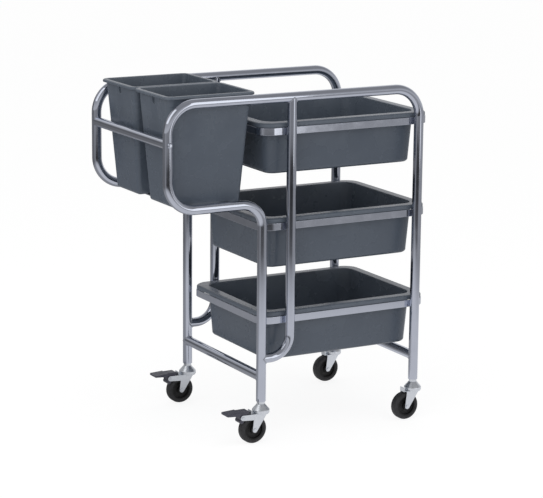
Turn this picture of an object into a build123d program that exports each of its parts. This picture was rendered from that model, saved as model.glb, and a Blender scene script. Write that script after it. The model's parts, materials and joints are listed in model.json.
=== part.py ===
from build123d import *
from math import sqrt
import os

# Clearing trolley: a bent tube frame, three tubs in flat bar rings, two waste bins and four casters.
# Millimetres, +Z up, floor at Z = 0, X along the trolley with the bins at -X, Y across it.

# Frame tubes
tube_d = 25.4  # outside of legs, rails and posts
tube_wall = 1.5
frame_pitch = 421.0  # between the axes of the two side tubes
leg_span = 468.0  # left leg to right leg
overhang = 269.0  # left leg to the end of the bin loop
rail_z = 900.0  # axis of the top rail
cradle_z = 632.0  # axis of the rail under the bins
corner_bend = 75.0
knee_bend = 60.0
post_setback = 84.0  # left leg to the post
post_foot_z = 222.0
post_bend = 58.0
weld_gap = 0.1  # between a coped end and the tube it is welded to

# Straight bars
bar_d = 20.0
bar_wall = 1.5
handle_drop = 98.0  # top rail's axis to the handle bar's
cross_bar_z = 173.5
plug_length = 22.0
plug_setback = 1.0
plug_fit = 0.05

# Bin straps
strap_w = 25.0
strap_t = 3.0
strap_pitch = 110.0
strap_drop = 1.0  # top of the strap below the cradle rail's axis
strap_gap = 0.1

# Rings that carry the tubs
ring_h = 19.0
ring_t = 3.0
ring_corner = 40.0
ring_over = 47.0  # past the right leg's axis
ring_inset = 5.0  # right of the left leg's axis
ring_gap = 0.1  # between ring and tube
tier_low_z = 316.0  # middle of the lowest ring
tier_pitch = 247.5
tier_count = 3

# Screws of the rings and bolts of the handle
screw_d = 6.0
screw_head_d = 11.0
screw_head_h = 3.0
insert_d = 9.0
insert_length = 11.0
insert_inset = 0.9  # below the tube's surface
bolt_d = 8.0
bolt_head_d = 14.0
bolt_head_h = 4.5
dome_share = 0.85  # of a head's height that is rounded
bolt_clear = 0.3  # radial, in a drilled hole
thread_clear = 0.1  # radial, in a plug or insert
bolt_seat = 0.05  # under a head

# Tubs
seat_gap = 0.3  # between a tub or bin and what it stands on
tub_depth = 138.0
tub_rim_inset = 1.2  # from the ring's outer face
tub_rim_h = 12.0
tub_lip = 24.6  # from the rim's outer edge to the wall
tub_wall = 3.0
tub_taper = 10.0  # per side, over the depth
tub_corner = 36.0  # of the wall, at the top
tub_floor_corner = 30.0
tub_floor_round = 11.0
tub_rim_round = 5.5

# Bins
bin_height = 286.5
bin_end_gap = 14.0  # that the rim is shorter than the overhang
bin_rim_corner = 22.0
bin_handle_gap = 12.8
bin_rim_h = 8.0
bin_lip = 9.5
bin_wall = 2.5
bin_taper = 21.1  # per side, over the height
bin_corner = 14.0  # of the wall, at the top
bin_floor_corner = 12.0
bin_floor_round = 9.0
bin_rim_round = 5.0
bin_side_gap = 1.2  # between a bin and a tube
bin_between = 1.0  # between the two bins
bin_slot_w = 8.0
bin_slot_h = 19.0
bin_slot_drop = 2.0  # from the rim's lower edge to the slot

# Casters
wheel_d = 75.0
tyre_w = 24.0
tyre_t = 10.5
tyre_round = 8.0
press_gap = 0.05  # between pieces pressed together
trail = 25.0  # stem axis to axle
core_rim_t = 3.0
core_w = 22.0
core_web_t = 8.0
core_boss_d = 20.0
core_boss_w = 26.0
axle_d = 8.0
running_fit = 0.05  # radial, axle and brake pin
rivet_head_d = 10.0  # on the axle
rivet_head_h = 2.0
hub_side_gap = 1.0  # between hub and fork
fork_t = 2.5
fork_tip_r = 7.0
fork_top_front = 9.0  # from the stem axis
fork_top_back = 27.0
fork_crown_gap = 2.0  # above the tyre
crown_back = 33.0
crown_lip_w = 20.0
crown_lip_h = 9.0
race_d = 40.0
race_h = 2.5
ball_ring_d = 36.0
ball_ring_bore = 26.0
ball_ring_h = 3.0
swivel_gap = 0.35  # between fixed and turning pieces
cup_d = 46.0
cup_wall = 2.0
cup_skirt = 7.5
cup_cone = 14.5
cup_round = 3.0
neck_d = 21.0
neck_h = 7.0
stem_length = 45.0
kingpin_d = 10.0
kingpin_head_d = 15.0
kingpin_head_h = 3.5

# Brakes
brake_back = 60.0  # stem axis to the brake pin
brake_pin_rise = 36.5  # axle to the brake pin
brake_pin_d = 6.0
brake_ear_r = 7.0
brake_ear_root = 16.0  # height of the ears where they leave the fork
brake_hub_r = 8.0
brake_side_gap = 0.6
pedal_reach = 107.0  # stem axis to the pedal's tip
pedal_w = 38.0
pedal_t = 4.5
pedal_rise = 14.0  # top of the pedal's tip above the pin
pedal_slope = 2.0
pedal_corner = 3.0
pedal_front = 40.0  # stem axis to the pedal's front end
pedal_ear_gap = 2.0
shoe_r = 6.0
shoe_reach = 10.0
shoe_angle = -105.0  # from +X towards +Z

# Places worked out from the sizes
tube_r = tube_d / 2
right_leg_x = (leg_span + overhang + tube_r - ring_over) / 2
left_leg_x = right_leg_x - leg_span
end_x = left_leg_x - overhang
handle_z = rail_z - handle_drop
post_x = left_leg_x + post_setback
side_y = frame_pitch / 2
inner_y = side_y - tube_r
outer_y = side_y + tube_r
side_plane = Plane.XZ.offset(side_y)
ring_heights = [tier_low_z + tier_pitch * tier for tier in range(tier_count)]
ring_l = leg_span + ring_over - ring_inset
ring_w = 2 * (inner_y - ring_gap)
ring_x = right_leg_x + ring_over - ring_l / 2
ring_screw_places = [(x, z) for x in (post_x, right_leg_x) for z in ring_heights]
bar_places = {
    "handle_bar": (end_x, handle_z),
    "left_cross_bar": (left_leg_x, cross_bar_z),
    "right_cross_bar": (right_leg_x, cross_bar_z),
}
strap_top = cradle_z - strap_drop
bin_top = strap_top + seat_gap + bin_height
bin_l = overhang - bin_end_gap
bin_w = inner_y - bin_side_gap - bin_between / 2
bin_half_at_handle = bin_l / 2 - bin_lip - bin_taper * (bin_top - handle_z) / bin_height
bin_x = end_x + bar_d / 2 + bin_handle_gap + bin_half_at_handle
axle_z = wheel_d / 2
fork_in = core_boss_w / 2 + hub_side_gap
fork_out = fork_in + fork_t
crown_z = wheel_d + fork_crown_gap
race_z = crown_z + fork_t
ball_z = race_z + race_h + press_gap
cup_z = race_z + swivel_gap
cup_roof_z = ball_z + ball_ring_h + swivel_gap
cup_top_z = cup_z + cup_skirt + cup_cone
foot_z = cup_top_z + neck_h  # lower end of the legs
brake_pin_z = axle_z + brake_pin_rise
corners = {
    "front_left": (left_leg_x, -side_y),
    "back_left": (left_leg_x, side_y),
    "front_right": (right_leg_x, -side_y),
    "back_right": (right_leg_x, side_y),
}


def save(part, name):
    """Label a piece and write it to the parts folder."""
    part.label = name
    export_step(part, f"parts/{name}.step")


def bent_tube(points, radii):
    """A tube along a line with rounded corners in the front side plane."""
    with BuildPart() as tube:
        with BuildLine(side_plane) as run:
            FilletPolyline(*points, radius=radii)
        with BuildSketch(Plane(run.line @ 0, z_dir=run.line % 0)):
            Circle(tube_r)
            Circle(tube_r - tube_wall, mode=Mode.SUBTRACT)
        sweep()
    return tube.part


def mirrored(part):
    """The same piece on the other long side."""
    with BuildPart() as other:
        mirror(part, about=Plane.XZ)
    return other.part


def turned(discs, axis_plane):
    """Round piece from (diameter, start, end) stretches along a plane's normal."""
    with BuildPart() as piece:
        for diameter, start, end in discs:
            with BuildSketch(axis_plane.offset(start)):
                Circle(diameter / 2)
            extrude(amount=end - start)
    return piece.part


def domed_bolt():
    """Handle bolt along Z whose head is hollowed below to sit on a tube that runs along Y."""
    saddle = tube_r - sqrt(tube_r**2 - (bolt_head_d / 2) ** 2)
    with BuildPart() as bolt:
        with BuildSketch(Plane.XY.offset(-saddle)):
            Circle(bolt_head_d / 2)
        extrude(amount=saddle + bolt_head_h)
        fillet(bolt.faces().sort_by(Axis.Z)[-1].edges(), bolt_head_h * dome_share)
        with Locations(Location((0, 0, -tube_r), (90, 0, 0))):
            Cylinder(tube_r + bolt_seat, bolt_head_d, mode=Mode.SUBTRACT)
        with BuildSketch(Plane.XY.offset(bolt_head_h / 2)):
            Circle(bolt_d / 2)
        extrude(amount=-(bolt_head_h / 2 + tube_d + plug_length))
    return bolt.part


def both_sides(part, places, y):
    """Copies of a piece facing out of the front at each place, and the same at the back."""
    with BuildPart() as group:
        for x, z in places:
            with Locations(Plane((x, -y, z), x_dir=(1, 0, 0), z_dir=(0, -1, 0))):
                add(part)
        mirror(about=Plane.XZ)
    return group.part


def tapered_block(at, top, bottom, length, width, corner, taper, floor_corner, floor_round):
    """Upright block with rounded corners that narrows downwards, its lower edge rounded."""
    with BuildPart() as block:
        with BuildSketch(Plane.XY.offset(top)):
            with Locations(at):
                RectangleRounded(length, width, corner)
        with BuildSketch(Plane.XY.offset(bottom)):
            with Locations(at):
                RectangleRounded(length - 2 * taper, width - 2 * taper, floor_corner)
        loft()
        fillet(block.faces().sort_by(Axis.Z)[0].edges(), floor_round)
    return block.part


def vessel(at, top, rim, lip, wall, depth, taper, corner, floor_corner, floor_round):
    """Open moulded vessel: tapered walls below a turned-down rim (length, width, corner, height, round)."""
    rim_l, rim_w, rim_corner, rim_h, rim_round = rim
    outside = tapered_block(
        at,
        top - wall / 2,
        top - depth,
        rim_l - 2 * lip,
        rim_w - 2 * lip,
        corner,
        taper,
        floor_corner,
        floor_round,
    )
    bore = 2 * (lip + wall)
    inside = tapered_block(
        at,
        top,
        top - depth + wall,
        rim_l - bore,
        rim_w - bore,
        corner - wall,
        taper,
        floor_corner - wall,
        floor_round - wall,
    )
    with BuildPart() as body:
        with BuildSketch(Plane.XY.offset(top)):
            with Locations(at):
                RectangleRounded(rim_l, rim_w, rim_corner)
        extrude(amount=-rim_h)
        fillet(body.faces().sort_by(Axis.Z)[-1].edges(), rim_round)
        with BuildSketch(Plane.XY.offset(top - rim_h)):
            with Locations(at):
                RectangleRounded(rim_l - 2 * wall, rim_w - 2 * wall, rim_corner - wall)
        extrude(amount=rim_h - wall, mode=Mode.SUBTRACT)
        add(outside)
        add(inside, mode=Mode.SUBTRACT)
        mouth = body.faces().sort_by(Axis.Z)[-1].inner_wires()
        fillet(mouth[0].edges(), wall * dome_share)
    return body.part


os.makedirs("parts", exist_ok=True)

# Side tubes, drilled through for the handle bolts and on the inner side for the ring inserts
with BuildPart() as side_tube:
    add(
        bent_tube(
            [
                (right_leg_x, foot_z),
                (right_leg_x, rail_z),
                (end_x, rail_z),
                (end_x, cradle_z),
                (left_leg_x, cradle_z),
                (left_leg_x, foot_z),
            ],
            [corner_bend, corner_bend, corner_bend, knee_bend],
        )
    )
    with BuildSketch(side_plane):
        with Locations((end_x, handle_z)):
            Circle(bolt_d / 2 + bolt_clear)
    extrude(amount=tube_d, both=True, mode=Mode.SUBTRACT)
    with BuildSketch(side_plane):
        with Locations(*[(right_leg_x, z) for z in ring_heights]):
            Circle(insert_d / 2 + press_gap)
    extrude(amount=-tube_d, mode=Mode.SUBTRACT)
save(side_tube.part, "front_side_tube")
save(mirrored(side_tube.part), "back_side_tube")

# Posts, coped to the top rail and the left leg
with BuildPart() as post:
    add(
        bent_tube(
            [(post_x, rail_z), (post_x, post_foot_z), (left_leg_x, post_foot_z)],
            [post_bend],
        )
    )
    with Locations(Location((post_x, -side_y, rail_z), (0, 90, 0))):
        Cylinder(tube_r + weld_gap, 2 * tube_d, mode=Mode.SUBTRACT)
    with Locations((left_leg_x, -side_y, post_foot_z)):
        Cylinder(tube_r + weld_gap, 2 * tube_d, mode=Mode.SUBTRACT)
    with BuildSketch(side_plane):
        with Locations(*[(post_x, z) for z in ring_heights]):
            Circle(insert_d / 2 + press_gap)
    extrude(amount=-tube_d, mode=Mode.SUBTRACT)
save(post.part, "front_post")
save(mirrored(post.part), "back_post")

# Straight bars, coped to the side tubes; the handle has a threaded plug and a bolt in each end
for bar_name, (x, z) in bar_places.items():
    with BuildPart() as bar:
        with BuildSketch(side_plane):
            with Locations((x, z)):
                Circle(bar_d / 2)
                Circle(bar_d / 2 - bar_wall, mode=Mode.SUBTRACT)
        extrude(amount=-frame_pitch)
        with Locations((x, -side_y, z), (x, side_y, z)):
            Cylinder(tube_r + weld_gap, 2 * bar_d, mode=Mode.SUBTRACT)
    save(bar.part, bar_name)

with BuildPart() as plug:
    with BuildSketch():
        Circle(bar_d / 2 - bar_wall - plug_fit)
        Circle(bolt_d / 2 + thread_clear, mode=Mode.SUBTRACT)
    extrude(amount=-plug_length)
save(both_sides(plug.part, [(end_x, handle_z)], inner_y - plug_setback), "handle_plugs")
save(both_sides(domed_bolt(), [(end_x, handle_z)], outer_y), "handle_bolts")

# Straps under the bins
for strap_name, strap_dx in (("left_bin_strap", -strap_pitch / 2), ("right_bin_strap", strap_pitch / 2)):
    with BuildPart() as strap:
        with BuildSketch(Plane.XY.offset(strap_top)):
            with Locations((bin_x + strap_dx, 0)):
                Rectangle(strap_w, 2 * (inner_y - strap_gap))
        extrude(amount=-strap_t)
    save(strap.part, strap_name)

# Rings with their tubs
for tier_name, z in zip(("lower", "middle", "top"), ring_heights):
    with BuildPart() as ring:
        with BuildSketch(Plane.XY.offset(z - ring_h / 2)):
            with Locations((ring_x, 0)):
                ring_outline = RectangleRounded(ring_l, ring_w, ring_corner)
                offset(ring_outline, amount=-ring_t, mode=Mode.SUBTRACT)
        extrude(amount=ring_h)
        with BuildSketch(Plane.XZ):
            with Locations((post_x, z), (right_leg_x, z)):
                Circle(screw_d / 2 + bolt_clear)
        extrude(amount=ring_w, both=True, mode=Mode.SUBTRACT)
    save(ring.part, f"{tier_name}_ring")
    tub = vessel(
        at=(ring_x, 0),
        top=z + ring_h / 2 + seat_gap + tub_rim_h,
        rim=(
            ring_l - 2 * tub_rim_inset,
            ring_w - 2 * tub_rim_inset,
            ring_corner - tub_rim_inset,
            tub_rim_h,
            tub_rim_round,
        ),
        lip=tub_lip,
        wall=tub_wall,
        depth=tub_depth,
        taper=tub_taper,
        corner=tub_corner,
        floor_corner=tub_floor_corner,
        floor_round=tub_floor_round,
    )
    save(tub, f"{tier_name}_tub")

# Screws from inside each ring into threaded inserts in the posts and right legs
with BuildPart() as screw:
    with BuildSketch():
        Circle(screw_head_d / 2)
    extrude(amount=-screw_head_h)
    fillet(screw.faces().sort_by(Axis.Z)[0].edges(), screw_head_h * dome_share)
    with BuildSketch():
        Circle(screw_d / 2)
    extrude(amount=bolt_seat + ring_t + ring_gap + insert_length)
save(both_sides(screw.part, ring_screw_places, ring_w / 2 - ring_t - bolt_seat), "ring_screws")

with BuildPart() as insert:
    with BuildSketch():
        Circle(insert_d / 2)
        Circle(screw_d / 2 + thread_clear, mode=Mode.SUBTRACT)
    extrude(amount=insert_length)
save(both_sides(insert.part, ring_screw_places, inner_y + insert_inset), "ring_inserts")

# Bins, each with a slot in both end walls just under the rim
for bin_name, side in (("front_bin", -1), ("back_bin", 1)):
    bin_y = side * (bin_w + bin_between) / 2
    with BuildPart() as bin_body:
        add(
            vessel(
                at=(bin_x, bin_y),
                top=bin_top,
                rim=(bin_l, bin_w, bin_rim_corner, bin_rim_h, bin_rim_round),
                lip=bin_lip,
                wall=bin_wall,
                depth=bin_height,
                taper=bin_taper,
                corner=bin_corner,
                floor_corner=bin_floor_corner,
                floor_round=bin_floor_round,
            )
        )
        with BuildSketch(Plane.YZ.offset(bin_x)):
            with Locations((bin_y, bin_top - bin_rim_h - bin_slot_drop - bin_slot_h / 2)):
                SlotOverall(bin_slot_h, bin_slot_w, rotation=90)
        extrude(amount=overhang, both=True, mode=Mode.SUBTRACT)
    save(bin_body.part, bin_name)

# Caster pieces, made with the stem on the Z axis and trailing towards -X
stem = turned(
    [
        (kingpin_head_d, crown_z - swivel_gap - kingpin_head_h, crown_z - swivel_gap),
        (kingpin_d, crown_z - swivel_gap, cup_top_z + press_gap),
        (neck_d, cup_top_z + press_gap, foot_z),
        (tube_d - 2 * tube_wall - 2 * press_gap, foot_z, foot_z + stem_length),
    ],
    Plane.XY,
)

with BuildPart() as cup:
    with BuildSketch(Plane.XZ) as section:
        with BuildLine():
            Polyline(
                (kingpin_d / 2 + press_gap, cup_roof_z),
                (cup_d / 2 - cup_wall, cup_roof_z),
                (cup_d / 2 - cup_wall, cup_z),
                (cup_d / 2, cup_z),
                (cup_d / 2, cup_z + cup_skirt),
                (neck_d / 2, cup_top_z),
                (kingpin_d / 2 + press_gap, cup_top_z),
                close=True,
            )
        make_face()
        shoulder = section.vertices().group_by(Axis.X)[-1].sort_by(Axis.Y)[-1]
        fillet(shoulder, cup_round)
    revolve(axis=Axis.Z)

with BuildPart() as ball_ring:
    with BuildSketch(Plane.XY.offset(ball_z)):
        Circle(ball_ring_d / 2)
        Circle(ball_ring_bore / 2, mode=Mode.SUBTRACT)
    extrude(amount=ball_ring_h)


def caster_fork(braked):
    """Fork with a race disc on its crown, and ears for the brake pin where there is a brake."""
    top_mid = (fork_top_front - fork_top_back) / 2
    top_l = fork_top_front + fork_top_back
    with BuildPart() as fork:
        for start in (fork_in, -fork_out):
            with BuildSketch(Plane.XZ.offset(start)):
                with Locations((-trail, axle_z)):
                    Circle(fork_tip_r)
                with Locations((top_mid, crown_z + fork_t / 2)):
                    Rectangle(top_l, fork_t)
                make_hull()
            extrude(amount=fork_t)
            if braked:
                with BuildSketch(Plane.XZ.offset(start)):
                    with Locations((-brake_back, brake_pin_z)):
                        Circle(brake_ear_r)
                    with Locations((top_mid, race_z - brake_ear_root / 2)):
                        Rectangle(fork_t, brake_ear_root)
                    make_hull()
                extrude(amount=fork_t)
        with BuildSketch(Plane.XY.offset(crown_z)):
            with Locations((top_mid, 0)):
                Rectangle(top_l, 2 * fork_out)
            with Locations((-crown_back / 2, 0)):
                Rectangle(crown_back, crown_lip_w)
            Circle(cup_d / 2 - cup_wall)
        extrude(amount=fork_t)
        with BuildSketch(Plane.XY.offset(crown_z)):
            with Locations((fork_t / 2 - crown_back, 0)):
                Rectangle(fork_t, crown_lip_w)
        extrude(amount=fork_t + crown_lip_h)
        with BuildSketch(Plane.XY.offset(race_z)):
            Circle(race_d / 2)
        extrude(amount=race_h)
        with BuildSketch(Plane.XY.offset(crown_z)):
            Circle(kingpin_d / 2 + swivel_gap)
        extrude(amount=fork_t + race_h, mode=Mode.SUBTRACT)
        with BuildSketch(Plane.XZ):
            with Locations((-trail, axle_z)):
                Circle(axle_d / 2 + running_fit)
            if braked:
                with Locations((-brake_back, brake_pin_z)):
                    Circle(brake_pin_d / 2 + running_fit)
        extrude(amount=fork_out, both=True, mode=Mode.SUBTRACT)
    return fork.part


def rivet(shank_d, x, z):
    """Pin across the fork with a flat head on each side."""
    seat = fork_out + press_gap
    head_d = shank_d * rivet_head_d / axle_d
    return turned(
        [
            (head_d, -seat - rivet_head_h, -seat),
            (shank_d, -seat, seat),
            (head_d, seat, seat + rivet_head_h),
        ],
        Plane((x, 0, z), x_dir=(1, 0, 0), z_dir=(0, -1, 0)),
    )


# Wheel core and tyre, turned about the axle
axle_axis = Axis((-trail, 0, axle_z), (0, 1, 0))
wheel_plane = Plane((-trail, 0, axle_z), x_dir=(0, 1, 0), z_dir=(1, 0, 0))
core_r = wheel_d / 2 - tyre_t - press_gap
core_side = [
    (core_boss_w / 2, axle_d / 2 + running_fit),
    (core_boss_w / 2, core_boss_d / 2),
    (core_web_t / 2, core_boss_d / 2),
    (core_web_t / 2, core_r - core_rim_t),
    (core_w / 2, core_r - core_rim_t),
    (core_w / 2, core_r),
]
with BuildPart() as core:
    with BuildSketch(wheel_plane):
        with BuildLine():
            Polyline(*core_side, *[(-width, radius) for width, radius in reversed(core_side)], close=True)
        make_face()
    revolve(axis=axle_axis)

with BuildPart() as tyre:
    with BuildSketch(wheel_plane):
        with Locations((0, wheel_d / 2 - tyre_t / 2)):
            Rectangle(tyre_w, tyre_t)
    revolve(axis=axle_axis)
    fillet(tyre.edges().filter_by(GeomType.CIRCLE).sort_by(SortBy.RADIUS)[-2:], tyre_round)

# Brake pedal: hub between the ears, shoe towards the tyre, and a wide tread behind the ears
pin_place = (-brake_back, brake_pin_z)
tread_x = -brake_back - brake_ear_r - pedal_ear_gap
tip_z = brake_pin_z + pedal_rise
pedal_mid_z = tip_z + pedal_slope - pedal_t / 2
pedal_half = fork_in - brake_side_gap
with BuildPart() as pedal:
    with BuildSketch(Plane.XZ.offset(pedal_half)):
        with Locations(pin_place):
            Circle(brake_hub_r)
        with Locations((tread_x, pedal_mid_z), (-pedal_front - pedal_t / 2, pedal_mid_z)):
            Circle(pedal_t / 2)
        make_hull()
        with Locations(pin_place):
            with PolarLocations(shoe_reach, 1, start_angle=shoe_angle):
                Circle(shoe_r)
    extrude(amount=-2 * pedal_half)
    with BuildSketch(Plane.XZ.offset(pedal_w / 2)):
        with BuildLine():
            Polyline(
                (tread_x, tip_z + pedal_slope),
                (-pedal_reach, tip_z),
                (-pedal_reach, tip_z - pedal_t),
                (tread_x, tip_z + pedal_slope - 2 * pedal_t),
                close=True,
            )
        make_face()
    extrude(amount=-pedal_w)
    fillet(pedal.edges().filter_by(Axis.Z).sort_by(Axis.X)[:2], pedal_corner)
    with BuildSketch(Plane.XZ):
        with Locations(pin_place):
            Circle(brake_pin_d / 2 + running_fit)
    extrude(amount=pedal_half, both=True, mode=Mode.SUBTRACT)

plain_pieces = {
    "stem": stem,
    "swivel_cup": cup.part,
    "ball_ring": ball_ring.part,
    "axle": rivet(axle_d, -trail, axle_z),
    "wheel": core.part,
    "tyre": tyre.part,
}
brake_pieces = {"brake_pin": rivet(brake_pin_d, *pin_place), "brake_pedal": pedal.part}
for corner, place in corners.items():
    braked = corner.endswith("left")
    pieces = dict(plain_pieces, fork=caster_fork(braked))
    if braked:
        pieces.update(brake_pieces)
    for piece_name, piece in pieces.items():
        with BuildPart() as placed:
            with Locations(place):
                add(piece)
        save(placed.part, f"{corner}_{piece_name}")
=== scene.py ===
"""Looks of the serving trolley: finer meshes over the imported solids, their finishes, and the studio."""

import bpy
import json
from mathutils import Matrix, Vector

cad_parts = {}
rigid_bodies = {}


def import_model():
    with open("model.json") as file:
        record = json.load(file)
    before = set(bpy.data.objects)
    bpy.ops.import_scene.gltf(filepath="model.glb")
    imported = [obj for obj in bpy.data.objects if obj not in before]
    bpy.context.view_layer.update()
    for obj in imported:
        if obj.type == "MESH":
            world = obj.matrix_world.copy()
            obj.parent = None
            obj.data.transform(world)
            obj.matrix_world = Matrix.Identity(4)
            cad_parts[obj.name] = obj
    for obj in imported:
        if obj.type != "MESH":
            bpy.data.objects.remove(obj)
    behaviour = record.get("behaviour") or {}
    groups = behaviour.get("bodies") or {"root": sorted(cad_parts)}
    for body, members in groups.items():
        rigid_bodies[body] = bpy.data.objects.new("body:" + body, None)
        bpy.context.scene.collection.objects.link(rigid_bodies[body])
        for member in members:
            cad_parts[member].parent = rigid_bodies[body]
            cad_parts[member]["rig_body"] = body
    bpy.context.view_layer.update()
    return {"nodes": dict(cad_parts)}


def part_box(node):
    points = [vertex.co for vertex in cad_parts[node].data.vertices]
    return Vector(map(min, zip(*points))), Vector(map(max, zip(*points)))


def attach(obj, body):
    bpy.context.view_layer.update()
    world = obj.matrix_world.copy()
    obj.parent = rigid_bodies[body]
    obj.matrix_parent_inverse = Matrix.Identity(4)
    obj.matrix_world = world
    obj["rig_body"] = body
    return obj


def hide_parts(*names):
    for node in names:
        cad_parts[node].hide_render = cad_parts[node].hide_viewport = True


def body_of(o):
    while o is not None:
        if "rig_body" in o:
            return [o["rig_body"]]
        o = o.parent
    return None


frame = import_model()

import json
import logging
import math
from collections.abc import Sequence
from dataclasses import dataclass
from enum import Enum

import bmesh
import bpy
from mathutils import Matrix, Vector

LOG = logging.getLogger("serving_trolley")
MM = 0.001  # sizes below are in millimetres, meshes in metres
ALONG, ACROSS, UP = Vector((1, 0, 0)), Vector((0, 1, 0)), Vector((0, 0, 1))
CREASE = 32.0  # degrees from which an edge stays sharp
WEAR_AND_SHEEN = "wear"  # attribute that marks rubbed edges, whose paler colour is also a painted sheen on the tubs' rims
# A mix node's sockets by number, because their names repeat: share, first, second and result.
COLOUR_MIX = (0, 6, 7, 2)
LEVEL_MIX = (0, 2, 3, 0)

Pair = tuple[float, float]
Steps = tuple[tuple[float, float, float], ...]  # where each step starts and stops, and its change


class Slot(Enum):
    """Material slots of the record."""

    CHROME = "bright_chrome"
    PLASTIC = "grey_plastic"
    ZINC = "zinc_plate"
    HUB = "black_plastic"
    TYRE = "grey_tyre"
    PEDAL = "pedal_plastic"


class Side(Enum):
    """The two long sides, with the sign of their Y."""

    FRONT = -1
    BACK = 1

    @property
    def word(self) -> str:
        """Name of the side as the nodes use it."""
        return self.name.lower()


def linear(hex_colour: str) -> tuple[float, float, float, float]:
    """Turn an sRGB hex colour to linear.

    Args:
        hex_colour: Six hex digits, such as "4d565d".

    Returns:
        Linear red, green and blue, and an alpha of 1.
    """
    shares = [int(hex_colour[at : at + 2], 16) / 255 for at in (0, 2, 4)]
    red, green, blue = [s / 12.92 if s <= 0.04045 else ((s + 0.055) / 1.055) ** 2.4 for s in shares]
    return red, green, blue, 1.0


def blank_nodes(owner: bpy.types.Material | bpy.types.World) -> bpy.types.NodeTree:
    """Give a material or world an empty node tree.

    Args:
        owner: The material or world.

    Returns:
        Its node tree, with no node in it.
    """
    owner.use_nodes = True
    owner.node_tree.nodes.clear()
    return owner.node_tree


def add_node(
    tree: bpy.types.NodeTree, kind: str, settings: dict | None = None, sockets: dict | None = None
) -> bpy.types.Node:
    """Add a node with its settings and links.

    Args:
        tree: Node tree that gets the node.
        kind: Blender's name of the node type.
        settings: Values of the node's own properties.
        sockets: Input by name or number, each a plain value or the output that feeds it.

    Returns:
        The new node.
    """
    made = tree.nodes.new(kind)
    for key, value in (settings or {}).items():
        setattr(made, key, value)
    for key, value in (sockets or {}).items():
        if isinstance(value, bpy.types.NodeSocket):
            tree.links.new(value, made.inputs[key])
        else:
            made.inputs[key].default_value = value
    return made


@dataclass(frozen=True)
class Finish:
    """Material of one kind of piece: patches of two colours, with haze, grain, and paler edges that are
    rubbed wear and, on the tubs' rims, a painted sheen.
    """

    name: str
    slot: Slot
    pale: str  # colour of the palest patches
    deep: str  # colour of the deepest patches
    roughness: Pair  # in the glossiest and the dullest patches
    patch_mm: float  # across a patch of colour or haze
    grain_mm: tuple[float, float, float]  # size of the grain along X, Y and Z
    grain_depth_mm: float
    metallic: float = 0.0
    ior: float = 1.5
    worn: str = ""  # colour of rubbed edges, which on the tubs' rims is also a painted sheen
    worn_share: float = 0.0  # most of that colour that shows
    haze_span: Pair = (0.35, 0.65)  # values of the patches at the two ends of the roughness
    worn_span: Pair = (0.2, 0.75)  # values of the rubbing at which the paler edge colour starts and is full

    def make(self) -> bpy.types.Material:
        """Build the material.

        Returns:
            A material with one shader that its patches, grain and wear feed.
        """
        made = bpy.data.materials.new(self.name)
        tree = blank_nodes(made)
        share, first, second, result = COLOUR_MIX
        spot = add_node(tree, "ShaderNodeTexCoord").outputs["Object"]
        patches = add_node(
            tree,
            "ShaderNodeTexNoise",
            sockets={"Vector": spot, "Scale": 1 / (self.patch_mm * MM), "Detail": 4.0, "Roughness": 0.55},
        ).outputs["Fac"]
        colour = add_node(
            tree,
            "ShaderNodeMix",
            {"data_type": "RGBA"},
            {share: patches, first: linear(self.deep), second: linear(self.pale)},
        ).outputs[result]
        haze = add_node(
            tree,
            "ShaderNodeMapRange",
            sockets={
                "Value": patches,
                "From Min": self.haze_span[0],
                "From Max": self.haze_span[1],
                "To Min": self.roughness[0],
                "To Max": self.roughness[1],
            },
        ).outputs["Result"]
        # Paler colour on marked edges: rubbed wear, and on the tubs' rims a painted sheen.
        if self.worn:
            edge = add_node(tree, "ShaderNodeAttribute", {"attribute_name": WEAR_AND_SHEEN}).outputs["Fac"]
            rubbed_and_sheen = add_node(
                tree,
                "ShaderNodeMath",
                {"operation": "MULTIPLY", "use_clamp": True},
                {0: edge, 1: patches},
            ).outputs[0]
            wear = add_node(
                tree,
                "ShaderNodeMapRange",
                sockets={
                    "Value": rubbed_and_sheen,
                    "From Min": self.worn_span[0],
                    "From Max": self.worn_span[1],
                    "To Max": self.worn_share,
                },
            ).outputs["Result"]
            colour = add_node(
                tree,
                "ShaderNodeMix",
                {"data_type": "RGBA"},
                {share: wear, first: colour, second: linear(self.worn)},
            ).outputs[result]
        spread = add_node(
            tree,
            "ShaderNodeMapping",
            sockets={"Vector": spot, "Scale": [1 / (size * MM) for size in self.grain_mm]},
        ).outputs["Vector"]
        grain = add_node(
            tree,
            "ShaderNodeTexNoise",
            sockets={"Vector": spread, "Scale": 1.0, "Detail": 3.0, "Roughness": 0.6},
        ).outputs["Fac"]
        relief = add_node(
            tree,
            "ShaderNodeBump",
            sockets={"Height": grain, "Strength": 1.0, "Distance": self.grain_depth_mm * MM},
        ).outputs["Normal"]
        shader = add_node(
            tree,
            "ShaderNodeBsdfPrincipled",
            sockets={
                "Base Color": colour,
                "Roughness": haze,
                "Normal": relief,
                "Metallic": self.metallic,
                "IOR": self.ior,
            },
        )
        add_node(tree, "ShaderNodeOutputMaterial", sockets={"Surface": shader.outputs["BSDF"]})
        return made


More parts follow.
